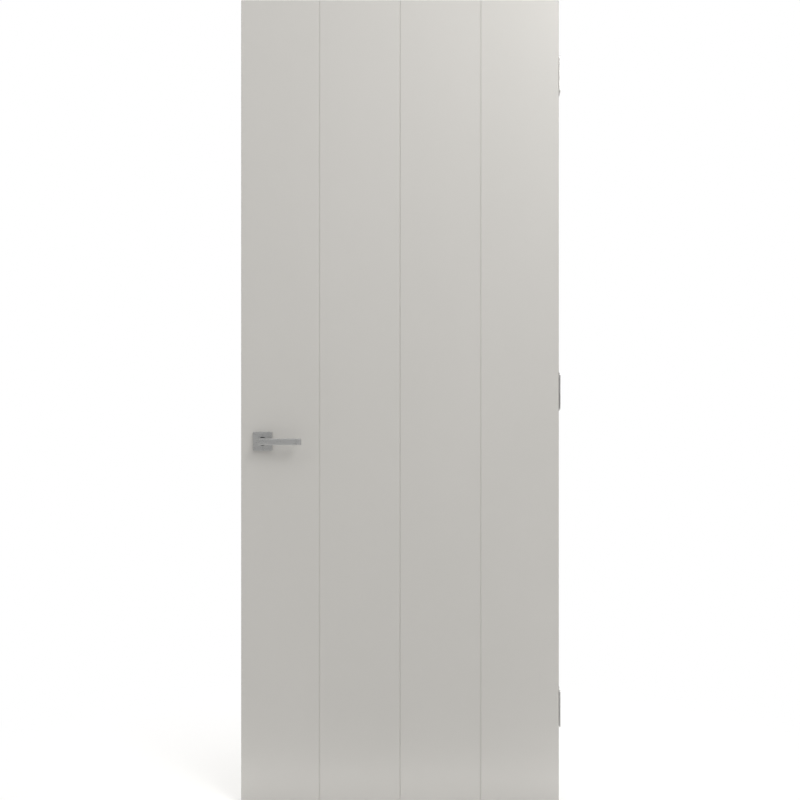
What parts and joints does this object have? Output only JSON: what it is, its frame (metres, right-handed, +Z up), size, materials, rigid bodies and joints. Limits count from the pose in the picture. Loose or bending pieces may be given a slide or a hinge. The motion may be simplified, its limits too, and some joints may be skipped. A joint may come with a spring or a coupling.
{
  "type": "grooved flush interior door leaf",
  "caption": "Flush interior door leaf milled with upright V-grooves into plank panels, with a lever handle on each face and butt hinges that let it swing.",
  "frame": {"origin": "centre of the lower hinge's jamb plate, on the face that is screwed to the frame", "axes": "+Z up the leaf, +X from the leaf into the hinge jamb, -Y out of the front face, +Y the way it opens"},
  "size_m": [0.883, 0.144, 2.205],
  "materials": {
    "satin_lacquer": "satin warm grey lacquer on fibreboard",
    "framing_timber": "planed softwood",
    "tubular_chipboard": "sealed in the leaf",
    "satin_steel": "satin stainless",
    "rose_bearing": "moulded nylon",
    "spindle_steel": "zinc plated",
    "forend_steel": "brushed",
    "case_steel": "zinc plated",
    "bolt_nylon": "moulded over steel",
    "hinge_steel": "satin stainless",
    "pin_steel": "ground stainless",
    "bearing_ring": "hardened ring"
  },
  "bodies": {
    "jamb_side": {"lower_hinge_jamb_plate": "hinge_steel", "middle_hinge_jamb_plate": "hinge_steel", "upper_hinge_jamb_plate": "hinge_steel", "lower_hinge_pin": "pin_steel", "middle_hinge_pin": "pin_steel", "upper_hinge_pin": "pin_steel", "lower_hinge_bearings": "bearing_ring", "middle_hinge_bearings": "bearing_ring", "upper_hinge_bearings": "bearing_ring"},
    "leaf": {"front_skin": "satin_lacquer", "back_skin": "satin_lacquer", "lock_edge_lipping": "satin_lacquer", "hinge_edge_lipping": "satin_lacquer", "top_edge_lipping": "satin_lacquer", "bottom_edge_lipping": "satin_lacquer", "lock_stile": "framing_timber", "hinge_stile": "framing_timber", "top_rail": "framing_timber", "bottom_rail": "framing_timber", "lock_block": "framing_timber", "core_board": "tubular_chipboard", "front_rose_base": "rose_bearing", "back_rose_base": "rose_bearing", "front_rose_cover": "satin_steel", "back_rose_cover": "satin_steel", "lock_forend": "forend_steel", "latch_bolt": "bolt_nylon", "lock_case": "case_steel", "lower_hinge_leaf_plate": "hinge_steel", "middle_hinge_leaf_plate": "hinge_steel", "upper_hinge_leaf_plate": "hinge_steel"},
    "handle": {"front_lever": "satin_steel", "back_lever": "satin_steel", "spindle": "spindle_steel", "latch_follower": "case_steel"}
  },
  "joints": [
    {"name": "door_swing", "type": "hinge", "parent": "jamb_side", "child": "leaf", "pos_m": [-0.0045, 0.02225, 0], "axis": [0, 0, -1], "range_deg": [0, 110]},
    {"name": "lever_turn", "type": "hinge", "parent": "leaf", "child": "handle", "pos_m": [-0.821, -0.005, 0.74], "axis": [0, 1, 0], "range_deg": [0, 40], "stiffness_Nm_per_rad": 1, "springref_deg": -45.84}
  ]
}
